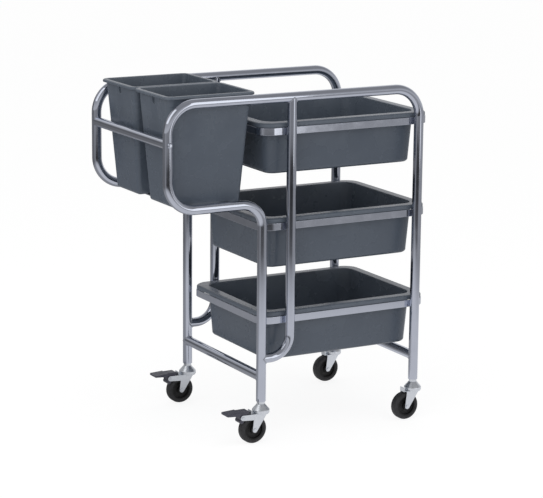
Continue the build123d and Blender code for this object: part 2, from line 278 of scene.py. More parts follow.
class Finishes:
    """Every finish of the trolley, made once and handed to the pieces."""

    # Chromium plate over buffed steel tube: a mirror, faintly hazed by buffing and slightly wavy.
    TUBE_CHROME = Finish(
        "chromium_plate_on_buffed_steel_tube",
        Slot.CHROME,
        pale="cfd3de",
        deep="bfc4d0",
        roughness=(0.05, 0.10),
        patch_mm=45.0,
        grain_mm=(30.0, 30.0, 30.0),
        grain_depth_mm=0.012,
        metallic=1.0,
    )
    # Chromium plate over rolled flat bar: rolling leaves lines along the bar, so reflections smear across it.
    BAR_CHROME = Finish(
        "chromium_plate_on_rolled_flat_bar",
        Slot.CHROME,
        pale="d2d6e1",
        deep="bec3ce",
        roughness=(0.09, 0.17),
        patch_mm=30.0,
        grain_mm=(90.0, 90.0, 2.5),
        grain_depth_mm=0.012,
        metallic=1.0,
    )
    # Plated weld bead: bright like the tube, but dimpled and hazier.
    WELD_CHROME = Finish(
        "chromium_plate_on_weld_bead",
        Slot.CHROME,
        pale="c9ccd4",
        deep="a9adb5",
        roughness=(0.12, 0.28),
        patch_mm=6.0,
        grain_mm=(2.0, 2.0, 2.0),
        grain_depth_mm=0.1,
        metallic=1.0,
    )
    # Polypropylene from a spark-eroded mould: even slate grey with a satin sheen; its paler rim edges are
    # rubbed wear together with a painted sheen.
    # The real grain is about 0.3 mm and is drawn at 1.6 mm so that it shows.
    TUB_PLASTIC = Finish(
        "polypropylene_moulded_satin",
        Slot.PLASTIC,
        pale="545c67",
        deep="4c545f",
        roughness=(0.24, 0.30),
        patch_mm=70.0,
        grain_mm=(1.6, 1.6, 1.6),
        grain_depth_mm=0.03,
        ior=1.49,
        worn="777e86",
        worn_share=0.22,
    )
    # Zinc plate with a clear passivate: pale blue grey, soft gloss, cloudy patches from the bath. Its colour
    # is drawn paler than bare zinc, as painted light for the lamps that metal does not mirror.
    ZINC = Finish(
        "zinc_plate_clear_passivated",
        Slot.ZINC,
        pale="f0f3f7",
        deep="dfe4ea",
        roughness=(0.30, 0.42),
        patch_mm=7.0,
        grain_mm=(1.2, 1.2, 1.2),
        grain_depth_mm=0.01,
        metallic=1.0,
    )
    # Dark thermoplastic rubber, moulded: nearly black and dull, paler where its edges are rubbed.
    TYRE_RUBBER = Finish(
        "thermoplastic_rubber_moulded",
        Slot.TYRE,
        pale="202022",
        deep="161618",
        roughness=(0.55, 0.75),
        patch_mm=9.0,
        grain_mm=(1.0, 1.0, 1.0),
        grain_depth_mm=0.05,
        ior=1.52,
        worn="444446",
        worn_share=0.5,
    )
    # Black nylon wheel core, moulded, with a soft gloss; drawn darker than the nylon itself, as painted shade
    # of the recessed hub.
    HUB_NYLON = Finish(
        "nylon_moulded_black",
        Slot.HUB,
        pale="0a0a0b",
        deep="060607",
        roughness=(0.5, 0.68),
        patch_mm=10.0,
        grain_mm=(0.8, 0.8, 0.8),
        grain_depth_mm=0.02,
        ior=1.53,
    )
    # Glass-filled nylon pedal: dark blue grey, with fine flow streaks and paler edges rubbed by shoes.
    PEDAL_NYLON = Finish(
        "nylon_glass_filled_moulded",
        Slot.PEDAL,
        pale="484854",
        deep="3a3a45",
        roughness=(0.40, 0.58),
        patch_mm=12.0,
        grain_mm=(6.0, 1.0, 1.0),
        grain_depth_mm=0.04,
        ior=1.53,
        worn="6b6b74",
        worn_share=0.6,
    )

    def __init__(self) -> None:
        """Start with no material made."""
        self._made: dict[str, bpy.types.Material] = {}

    def material(self, finish: Finish) -> bpy.types.Material:
        """Give a finish's material, making it on first use.

        Args:
            finish: The finish.

        Returns:
            Its one material.
        """
        if finish.name not in self._made:
            self._made[finish.name] = finish.make()
        return self._made[finish.name]


FINISHES = Finishes()


@dataclass(frozen=True)
class Corner:
    """Corner of a line in a plane: its place, its rounding and a value carried along the line."""

    u: float
    v: float
    radius: float = 0.0
    carry: float = 0.0


@dataclass(frozen=True)
class Station:
    """Point on a rounded line, with the carried value and how much it belongs to a rounded edge."""

    u: float
    v: float
    carry: float
    edge: float


def rounded_line(corners: Sequence[Corner], turn: float, closed: bool = False) -> list[Station]:
    """Lay points along straight runs whose corners are rounded.

    Args:
        corners: Corners in order.
        turn: Largest turn between neighbouring points, in degrees.
        closed: Whether the last run goes back to the first corner.

    Returns:
        Stations along the line.
    """
    stations: list[Station] = []
    count = len(corners)
    for at, corner in enumerate(corners):
        here = Vector((corner.u, corner.v))
        ends = not closed and at in (0, count - 1)
        if ends or corner.radius <= 0:
            stations.append(Station(corner.u, corner.v, corner.carry, 0.0))
            continue
        before, after = corners[at - 1], corners[(at + 1) % count]
        back = Vector((before.u, before.v)) - here
        ahead = Vector((after.u, after.v)) - here
        angle = back.angle(ahead)
        reach = corner.radius / math.tan(angle / 2)
        share_in, share_out = reach / back.length, reach / ahead.length
        start, stop = here + back * share_in, here + ahead * share_out
        carry_in = corner.carry + (before.carry - corner.carry) * share_in
        carry_out = corner.carry + (after.carry - corner.carry) * share_out
        inward = (back.normalized() + ahead.normalized()).normalized()
        centre = here + inward * corner.radius / math.sin(angle / 2)
        steps = max(2, math.ceil(math.degrees(math.pi - angle) / turn))
        sweep = (start - centre).angle_signed(stop - centre)
        for step in range(steps + 1):
            share = step / steps
            spot = centre + Matrix.Rotation(-sweep * share, 2) @ (start - centre)
            stations.append(Station(spot.x, spot.y, carry_in + (carry_out - carry_in) * share, 1.0))
    return stations


def both_halves(half: Sequence[Corner]) -> list[Corner]:
    """Complete a profile that is the same on both sides of v = 0."""
    return [*half, *(Corner(corner.u, -corner.v, corner.radius) for corner in reversed(half))]


def angles_round(steps: int) -> list[float]:
    """Divide a full turn evenly, in radians."""
    return [2 * math.pi * step / steps for step in range(steps)]


def rounded_loop(length: float, width: float, corner: float, arc: int = 14, side: int = 6) -> list[Vector]:
    """Lay points round a rectangle with rounded corners.

    Args:
        length: Size along X.
        width: Size along Y.
        corner: Radius of the corners.
        arc: Steps round each corner.
        side: Steps along each straight side.

    Returns:
        Points round the origin, anticlockwise.
    """
    points: list[Vector] = []
    reach_x, reach_y = length / 2 - corner, width / 2 - corner
    for quarter, (sign_x, sign_y) in enumerate(((1, 1), (-1, 1), (-1, -1), (1, -1))):
        hub = Vector((sign_x * reach_x, sign_y * reach_y))
        arc_points = []
        for step in range(arc + 1):
            angle = math.pi / 2 * (quarter + step / arc)
            arc_points.append(hub + corner * Vector((math.cos(angle), math.sin(angle))))
        if points:
            last = points[-1]
            points += [last.lerp(arc_points[0], step / side) for step in range(1, side)]
        points += arc_points
    last, first = points[-1], points[0]
    points += [last.lerp(first, step / side) for step in range(1, side)]
    return points


class Shell:
    """Rings of points that are joined side by side into one mesh."""

    def __init__(self) -> None:
        """Start with no points."""
        self.points: list[Vector] = []
        self.wear: list[float] = []
        self.faces: list[tuple[int, ...]] = []

    def ring(self, points: Sequence[Vector], wear: float = 0.0) -> range:
        """Add a ring of points.

        Args:
            points: Points in millimetres.
            wear: How much this ring is rubbed, from 0 to 1; on the tubs' rims it also carries a painted
                sheen.

        Returns:
            Numbers of the new points.
        """
        first = len(self.points)
        self.points += points
        self.wear += [wear] * len(points)
        return range(first, len(self.points))

    def level_ring(self, loop: Sequence[Vector], centre: Pair, z: float, wear: float = 0.0) -> range:
        """Add a flat loop as a level ring round a centre and give the numbers of its points."""
        return self.ring([Vector((centre[0] + p.x, centre[1] + p.y, z)) for p in loop], wear)

    def join(self, rings: Sequence[range], closed: bool = False) -> None:
        """Join neighbouring rings with four-sided faces.

        Args:
            rings: Rings of the same length.
            closed: Whether the last ring joins the first.
        """
        pairs = list(zip(rings, rings[1:]))
        if closed:
            pairs.append((rings[-1], rings[0]))
        for one, two in pairs:
            size = len(one)
            for at in range(size):
                after = (at + 1) % size
                self.faces.append((one[at], one[after], two[after], two[at]))

    def cap(self, ring: range) -> None:
        """Close a ring with one flat face."""
        self.faces.append(tuple(ring))

    def loft(self, rings: Sequence[range]) -> None:
        """Join neighbouring rings and close the first and the last.

        Args:
            rings: Rings of the same length.
        """
        self.join(rings)
        self.cap(rings[0])
        self.cap(rings[-1])

    def mesh(self, name: str, crease: float = CREASE) -> bpy.types.Mesh:
        """Turn the shell into a Blender mesh.

        Args:
            name: Name of the mesh.
            crease: Angle in degrees from which an edge stays sharp.

        Returns:
            Mesh in metres with outward faces.
        """
        made = bpy.data.meshes.new(name)
        made.from_pydata([point * MM for point in self.points], [], self.faces)
        rubbed_and_sheen = made.attributes.new(WEAR_AND_SHEEN, "FLOAT", "POINT")
        rubbed_and_sheen.data.foreach_set("value", self.wear)
        work = bmesh.new()
        work.from_mesh(made)
        bmesh.ops.recalc_face_normals(work, faces=work.faces)
        work.to_mesh(made)
        work.free()
        smooth(made, crease)
        return made


def smooth(mesh: bpy.types.Mesh, crease: float) -> None:
    """Shade a mesh smooth, with edges sharper than crease degrees kept sharp."""
    mesh.shade_smooth()
    mesh.set_sharp_from_angle(angle=math.radians(crease))


def turned(
    stations: Sequence[Station], hub: Vector, axis: Vector, sides: int = 64, closed: bool = False
) -> Shell:
    """Turn a profile about an axis.

    Args:
        stations: Profile, with u as the radius and v as the place along the axis.
        hub: Point on the axis where v is 0.
        axis: Unit vector along the axis.
        sides: Points round the axis.
        closed: Whether the profile is a closed outline, as for a tyre.

    Returns:
        Shell of the turned piece.
    """
    shell = Shell()
    across = axis.orthogonal().normalized()
    other = axis.cross(across)
    rings = []
    for station in stations:
        points = []
        for angle in angles_round(sides):
            spoke = across * math.cos(angle) + other * math.sin(angle)
            points.append(hub + axis * station.v + spoke * station.u)
        rings.append(shell.ring(points, station.edge))
    if closed:
        shell.join(rings, closed=True)
    else:
        shell.loft(rings)
    return shell


@dataclass(frozen=True)
class Softening:
    """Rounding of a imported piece's edges, as pressing, rolling or moulding leaves them."""

    width: float
    steps: int = 3  # faces across a rounding
    profile: float = 0.5  # round
    sharp: float = 35.0  # degrees from which an edge is rounded
    flat: float = 1.0  # degrees up to which neighbouring faces are one flat
    same_point: float = 0.001  # within which points are one
    crease: float = 40.0  # degrees from which an edge stays sharp

    def mesh(self, node: str) -> bpy.types.Mesh:
        """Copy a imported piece's mesh and round its edges.

        Args:
            node: Name of the CAD node.

        Returns:
            The rounded mesh, with the middle of each rounding marked as rubbed.
        """
        work = bmesh.new()
        work.from_mesh(frame["nodes"][node].data)
        bmesh.ops.remove_doubles(work, verts=work.verts, dist=self.same_point * MM)
        bmesh.ops.dissolve_limit(
            work, angle_limit=math.radians(self.flat), verts=work.verts, edges=work.edges
        )
        sharp = math.radians(self.sharp)
        edges = [e for e in work.edges if len(e.link_faces) == 2 and e.calc_face_angle(0.0) > sharp]
        bevel = bmesh.ops.bevel(
            work,
            geom=edges,
            offset=self.width * MM,
            segments=self.steps,
            profile=self.profile,
            affect="EDGES",
            clamp_overlap=True,
        )
        rounds = set(bevel["faces"])
        rubbed_and_sheen = work.verts.layers.float.new(WEAR_AND_SHEEN)
        for point in work.verts:
            point[rubbed_and_sheen] = float(all(face in rounds for face in point.link_faces))
        made = bpy.data.meshes.new(node + "_softened")
        work.to_mesh(made)
        work.free()
        smooth(made, self.crease)
        return made


def stand(name: str, data: bpy.types.ID) -> bpy.types.Object:
    """Put a new object into the scene.

    Args:
        name: Name of the object.
        data: Its mesh, lamp or camera.

    Returns:
        The object, at the origin.
    """
    made = bpy.data.objects.new(name, data)
    bpy.context.scene.collection.objects.link(made)
    return made


def place(
    name: str, mesh: bpy.types.Mesh, finish: Finish, body: str = "", stands_for: Sequence[str] = ()
) -> None:
    """Put a finished piece into the scene.

    Args:
        name: Name of the piece.
        mesh: Its mesh, in the CAD frame.
        finish: Its finish.
        body: Body it rides on; without one it is that of the first node it stands for.
        stands_for: CAD nodes that it replaces.
    """
    piece = stand(name, mesh)
    mesh.materials.clear()
    mesh.materials.append(FINISHES.material(finish))
    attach(piece, body or body_of(frame["nodes"][stands_for[0]])[0])
    piece.modifiers.new("flats_stay_flat", "WEIGHTED_NORMAL").keep_sharp = True
    if stands_for:
        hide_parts(*stands_for)
    LOG.info("%s: %d faces, %s", name, len(mesh.polygons), finish.name)


def dress(node: str, finish: Finish) -> None:
    """Give a CAD node that stays in view its finish.

    Args:
        node: Name of the CAD node.
        finish: Its finish.
    """
    mesh = frame["nodes"][node].data
    mesh.materials.clear()
    mesh.materials.append(FINISHES.material(finish))
    LOG.info("%s: packed shape, %s", node, finish.name)


def cut(mesh: bpy.types.Mesh, tool: bpy.types.Mesh) -> bpy.types.Mesh:
    """Cut one mesh out of another.

    Args:
        mesh: Mesh that is cut.
        tool: Mesh that is taken away.

    Returns:
        New mesh with the cut in it.
    """
    objects = [stand(one.name, one) for one in (mesh, tool)]
    work = objects[0].modifiers.new("cut", "BOOLEAN")
    work.operation = "DIFFERENCE"
    work.solver = "EXACT"
    work.object = objects[1]
    seen = objects[0].evaluated_get(bpy.context.evaluated_depsgraph_get())
    made = bpy.data.meshes.new_from_object(seen)
    for one in objects:
        bpy.data.objects.remove(one)
    return made


@dataclass
class TubeFrame:
    """Bent side tubes, posts and straight bars, with the weld beads between them."""

    tube: float = 25.4
    tube_wall: float = 1.5
    tube_sides: int = 48  # points round the tube
    side_y: float = 210.5
    right_leg_x: float = 351.35
    left_leg_x: float = -116.65
    loop_end_x: float = -385.65
    post_x: float = -32.65
    foot_z: float = 108.85
    rail_z: float = 900.0
    handle_z: float = 802.0
    cradle_z: float = 632.0
    post_foot_z: float = 222.0
    cross_bar_z: float = 173.5
    corner_bend: float = 75.0
    knee_bend: float = 60.0
    post_bend: float = 58.0
    bend_turn: float = 3.0  # degrees between neighbouring rings of a bend
    bead: float = 1.7  # radius of a weld bead
    bead_sides: int = 10  # points round a bead
    bead_pitch: float = 2.6  # between the ripples of a bead
    ripple_steps: int = 8  # rings in a ripple
    ripple: float = 0.14  # of the bead's radius, by which it swells and narrows
    bead_crease: float = 60.0  # degrees from which a bead's edge stays sharp

    @property
    def radius(self) -> float:
        """Outer radius of the tube."""
        return self.tube / 2

    def swept(self, line: Sequence[Vector], side: Vector, coped: bool) -> Shell:
        """Sweep the hollow tube along a line.

        Args:
            line: Points of the axis, all in one plane.
            side: Unit vector square to that plane.
            coped: Whether both ends are shaped to a tube that crosses there, or else cut square.

        Returns:
            Shell of the tube.
        """
        shell = Shell()
        last = len(line) - 1
        skins = []
        for radius in (self.radius, self.radius - self.tube_wall):
            rings = []
            for at, spot in enumerate(line):
                ahead = (line[min(at + 1, last)] - line[max(at - 1, 0)]).normalized()
                across = side.cross(ahead)
                inward = ahead if at == 0 else -ahead
                points = []
                for angle in angles_round(self.tube_sides):
                    reach = radius * math.sin(angle)
                    point = spot + across * radius * math.cos(angle) + side * reach
                    if coped and at in (0, last):
                        point += inward * math.sqrt(max(self.radius**2 - reach**2, 0.0))
                    points.append(point)
                rings.append(shell.ring(points))
            skins.append(rings)
        outer, inner = skins
        shell.join([*outer, *reversed(inner)], closed=True)
        return shell

    def bead_round(self, end: Vector, ahead: Vector, side: Vector) -> Shell:
        """Lay a rippled weld bead where a tube meets another square on.

        Args:
            end: Point on the other tube's axis that the tube aims at.
            ahead: Unit vector along the tube, towards the other.
            side: Unit vector square to both tubes.

        Returns:
            Shell of the bead.
        """
        shell = Shell()
        across = side.cross(ahead)
        steps = self.ripple_steps * round(2 * math.pi * self.radius / self.bead_pitch)
        seam, lean = [], []
        for angle in angles_round(steps):
            reach = self.radius * math.sin(angle)
            depth = math.sqrt(max(self.radius**2 - reach**2, 0.0))
            seam.append(end - ahead * depth + across * self.radius * math.cos(angle) + side * reach)
            off_tube = across * math.cos(angle) + side * math.sin(angle)
            off_other = (side * reach - ahead * depth) / self.radius
            lean.append((off_tube + off_other).normalized())
        rings = []
        for step, (spot, out) in enumerate(zip(seam, lean)):
            along = (seam[(step + 1) % steps] - seam[step - 1]).normalized()
            out = (out - along * out.dot(along)).normalized()
            beside = along.cross(out)
            radius = self.bead * (1 + self.ripple * math.sin(2 * math.pi * step / self.ripple_steps))
            points = []
            for angle in angles_round(self.bead_sides):
                points.append(spot + (out * math.cos(angle) + beside * math.sin(angle)) * radius)
            rings.append(shell.ring(points))
        shell.join(rings, closed=True)
        return shell

    def line(self, corners: Sequence[Corner], y: float) -> list[Vector]:
        """Lay a bent tube's axis in the plane of one long side."""
        return [Vector((station.u, y, station.v)) for station in rounded_line(corners, self.bend_turn)]

    def put_tube(self, node: str, line: Sequence[Vector], side: Vector, coped: bool) -> None:
        """Sweep a tube and place it over its CAD node."""
        mesh = self.swept(line, side, coped).mesh(node)
        place(f"{node}_plated", mesh, Finishes.TUBE_CHROME, stands_for=[node])

    def put_bead(self, name: str, end: Vector, ahead: Vector, side: Vector) -> None:
        """Lay a weld bead and place it on the frame."""
        mesh = self.bead_round(end, ahead, side).mesh(name, self.bead_crease)
        place(name, mesh, Finishes.WELD_CHROME, body="frame")

    def build(self) -> None:
        """Build the tubes of both sides, the bars and the beads."""
        for side in Side:
            y = side.value * self.side_y
            outline = [
                Corner(self.right_leg_x, self.foot_z),
                Corner(self.right_leg_x, self.rail_z, self.corner_bend),
                Corner(self.loop_end_x, self.rail_z, self.corner_bend),
                Corner(self.loop_end_x, self.cradle_z, self.corner_bend),
                Corner(self.left_leg_x, self.cradle_z, self.knee_bend),
                Corner(self.left_leg_x, self.foot_z),
            ]
            self.put_tube(f"{side.word}_side_tube", self.line(outline, y), ACROSS, coped=False)
            hook = [
                Corner(self.post_x, self.rail_z),
                Corner(self.post_x, self.post_foot_z, self.post_bend),
                Corner(self.left_leg_x, self.post_foot_z),
            ]
            self.put_tube(f"{side.word}_post", self.line(hook, y), ACROSS, coped=True)
            for joint, end, ahead in (
                ("top", Vector((self.post_x, y, self.rail_z)), UP),
                ("foot", Vector((self.left_leg_x, y, self.post_foot_z)), -ALONG),
            ):
                self.put_bead(f"{side.word}_post_{joint}_bead", end, ahead, ACROSS)
        for node, x, z, welded in (
            ("handle_bar", self.loop_end_x, self.handle_z, False),
            ("left_cross_bar", self.left_leg_x, self.cross_bar_z, True),
            ("right_cross_bar", self.right_leg_x, self.cross_bar_z, True),
        ):
            ends = {side: Vector((x, side.value * self.side_y, z)) for side in Side}
            self.put_tube(node, list(ends.values()), ALONG, coped=True)
            if welded:
                for side, end in ends.items():
                    self.put_bead(f"{node}_{side.word}_bead", end, side.value * ACROSS, ALONG)


@dataclass
class BarRing:
    """Flat bar loop that carries a tub."""

    node: str
    z: float
    centre_x: float = 143.35
    length: float = 510.0
    width: float = 395.4
    corner: float = 40.0
    corner_steps: int = 24
    height: float = 19.0
    thick: float = 3.0
    edge: float = 0.9  # rounding of the rolled bar's edges

    def build(self) -> None:
        """Build the loop with rolled edges."""
        low, high = self.z - self.height / 2, self.z + self.height / 2
        section = [
            Corner(u, v, self.edge)
            for u, v in ((0.0, low), (0.0, high), (self.thick, high), (self.thick, low))
        ]
        shell = Shell()
        rings = []
        for station in rounded_line(section, turn=22.5, closed=True):
            length, width = (size - 2 * station.u for size in (self.length, self.width))
            loop = rounded_loop(length, width, self.corner - station.u, arc=self.corner_steps)
            rings.append(shell.level_ring(loop, (self.centre_x, 0.0), station.v))
        shell.join(rings, closed=True)
        place(f"{self.node}_plated", shell.mesh(self.node), Finishes.BAR_CHROME, stands_for=[self.node])


@dataclass(kw_only=True)
class Vessel:
    """Moulded tub or bin: tapered walls, a rounded floor and a rim that turns down."""

    node: str
    centre: Pair
    top: float
    rim_length: float
    rim_width: float
    rim_corner: float
    rim_height: float
    rim_round: float
    lip: float  # from the rim's edge in to the wall
    wall: float
    depth: float
    taper: float  # by which the wall comes in at the floor
    corner: float
    floor_corner: float
    floor_round: float
    skirt_round: float = 1.1  # in the two corners under the rim
    skirt_edge: Pair = (0.1, 0.8)  # roundings of the rim's lower edge inside and outside, of the wall
    mouth_share: float = 0.85  # of the wall that the mouth's edge is rounded by
    floor_inset: float = 0.7  # from the foot to the flat floor, of the floor's corner radius
    inner_inset: float = 0.98  # of that inset, by which the inner floor's corners close
    rubbed_below: float = 1.0  # under the rim, down to where edges are rubbed and carry the painted sheen

    def profile(self) -> list[Station]:
        """Lay the wall's outline from the middle of the underside to the middle of the inner floor.

        Returns:
            Stations with u as the distance in from the rim's edge, v as the height, and the plan's
            corner radius carried along.
        """
        under, floor = self.top - self.depth, self.top - self.depth + self.wall
        run = self.floor_inset * self.floor_corner
        out_foot, in_foot = self.lip + self.taper, self.lip + self.wall + self.taper
        flange = self.top - self.wall
        skirt = self.top - self.rim_height
        skirt_in, skirt_out = (self.wall * share for share in self.skirt_edge)
        inner_corner = self.floor_corner - self.wall
        return rounded_line(
            [
                Corner(out_foot + run, under, 0.0, self.floor_corner - run),
                Corner(out_foot, under, self.floor_round, self.floor_corner),
                Corner(self.lip, flange, self.skirt_round, self.corner),
                Corner(self.wall, flange, self.skirt_round, self.rim_corner - self.wall),
                Corner(self.wall, skirt, skirt_in, self.rim_corner - self.wall),
                Corner(0.0, skirt, skirt_out, self.rim_corner),
                Corner(0.0, self.top, self.rim_round, self.rim_corner),
                Corner(self.lip + self.wall, self.top, self.wall * self.mouth_share, self.corner - self.wall),
                Corner(in_foot, floor, self.floor_round - self.wall, inner_corner),
                Corner(in_foot + run, floor, 0.0, inner_corner - run * self.inner_inset),
            ],
            turn=11.25,
        )

    def shell(self) -> Shell:
        """Loft the vessel from rounded rectangles, one for each station of its outline.

        Returns:
            Closed shell of the vessel.
        """
        shell = Shell()
        rings = []
        # Rounded rim edges are marked for the paler colour: rubbing, and painted sheen on the tubs.
        rubbed_and_sheen_from = self.top - self.rim_height - self.rubbed_below
        for station in self.profile():
            length, width = (size - 2 * station.u for size in (self.rim_length, self.rim_width))
            loop = rounded_loop(length, width, station.carry)
            wear = station.edge if station.v > rubbed_and_sheen_from else 0.0
            rings.append(shell.level_ring(loop, self.centre, station.v, wear))
        shell.loft(rings)
        return shell

    def mesh(self) -> bpy.types.Mesh:
        """Make the vessel's mesh."""
        return self.shell().mesh(self.node)

    def build(self) -> None:
        """Build and dress the vessel."""
        place(f"{self.node}_moulded", self.mesh(), Finishes.TUB_PLASTIC, stands_for=[self.node])


@dataclass(kw_only=True)
class Tub(Vessel):
    """Serving tub, which rests on a ring by its rim."""

    rim_height: float = 12.0
    rim_round: float = 5.5
    lip: float = 24.6
    wall: float = 3.0
    depth: float = 138.0
    taper: float = 10.0
    corner: float = 36.0
    floor_corner: float = 30.0
    floor_round: float = 11.0


@dataclass(kw_only=True)
class Bin(Vessel):
    """Waste bin: a vessel with an upright slot in its outer end wall, just under the rim."""

    rim_corner: float = 22.0
    rim_height: float = 8.0
    rim_round: float = 5.0
    lip: float = 9.5
    wall: float = 2.5
    taper: float = 21.1
    corner: float = 14.0
    floor_corner: float = 12.0
    floor_round: float = 9.0
    slot_width: float = 13.0
    slot_height: float = 19.0
    slot_drop: float = 2.0  # from the rim down to the slot
    slot_flat: float = 0.01  # by which the slot's round ends stay short of a half circle

    @classmethod
    def over(cls, node: str) -> "Bin":
        """Size a bin to the box of its CAD node.

        Args:
            node: Name of the CAD node.

        Returns:
            The bin.
        """
        low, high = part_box(node)
        length, width, depth = ((high[at] - low[at]) / MM for at in range(3))
        middle = ((low[0] + high[0]) / 2 / MM, (low[1] + high[1]) / 2 / MM)
        return cls(
            node=node, centre=middle, top=high[2] / MM, rim_length=length, rim_width=width, depth=depth
        )

    def slot_cutter(self) -> bpy.types.Mesh:
        """Make the bar with round ends that cuts the slot.

        Returns:
            Mesh of the cutter, through the outer end wall along X.
        """
        shell = Shell()
        rings = []
        middle = self.top - self.rim_height - self.slot_drop - self.slot_height / 2
        end_round = self.slot_width / 2 - self.slot_flat
        outline = rounded_loop(self.slot_width, self.slot_height, end_round, arc=8, side=2)
        for x in (self.centre[0] - self.rim_length, self.centre[0]):
            rings.append(shell.ring([Vector((x, self.centre[1] + p.x, middle + p.y)) for p in outline]))
        shell.loft(rings)
        return shell.mesh(f"{self.node}_slot_cutter")

    def mesh(self) -> bpy.types.Mesh:
        """Make the bin's mesh with its slot.

        Returns:
            The cut mesh.
        """
        made = cut(super().mesh(), self.slot_cutter())
        smooth(made, CREASE)
        return made


@dataclass
class Tiers:
    """Three rings one above the other, each with its tub."""

    names: tuple[str, ...] = ("lower", "middle", "top")
    lowest_z: float = 316.0  # middle of the lowest ring
    pitch: float = 247.5  # from ring to ring
    tub_inset: float = 1.2  # of the tub's rim from the ring's edge, all round
    tub_gap: float = 0.3  # between the ring and the tub's rim

    def build(self) -> None:
        """Build each ring and its tub, from the lowest up."""
        for tier, name in enumerate(self.names):
            ring = BarRing(f"{name}_ring", self.lowest_z + self.pitch * tier)
            ring.build()
            Tub(
                node=f"{name}_tub",
                centre=(ring.centre_x, 0.0),
                top=ring.z + ring.height / 2 + (Tub.rim_height + self.tub_gap),
                rim_length=ring.length - 2 * self.tub_inset,
                rim_width=ring.width - 2 * self.tub_inset,
                rim_corner=ring.corner - self.tub_inset,
            ).build()


@dataclass
class Fittings:
    """Straps under the bins, and the frame's bolts, screws, plugs and inserts."""

    straps: tuple[str, ...] = ("left_bin_strap", "right_bin_strap")
    strap_edge: Softening = Softening(0.6)
    plated: tuple[str, ...] = ("handle_bolts", "ring_screws")
    zinc_plated: tuple[str, ...] = ("handle_plugs", "ring_inserts")

    def build(self) -> None:
        """Build the straps and dress the rest as packed."""
        for node in self.straps:
            place(f"{node}_plated", self.strap_edge.mesh(node), Finishes.BAR_CHROME, stands_for=[node])
        for node in self.plated:
            dress(node, Finishes.BAR_CHROME)
        for node in self.zinc_plated:
            dress(node, Finishes.ZINC)


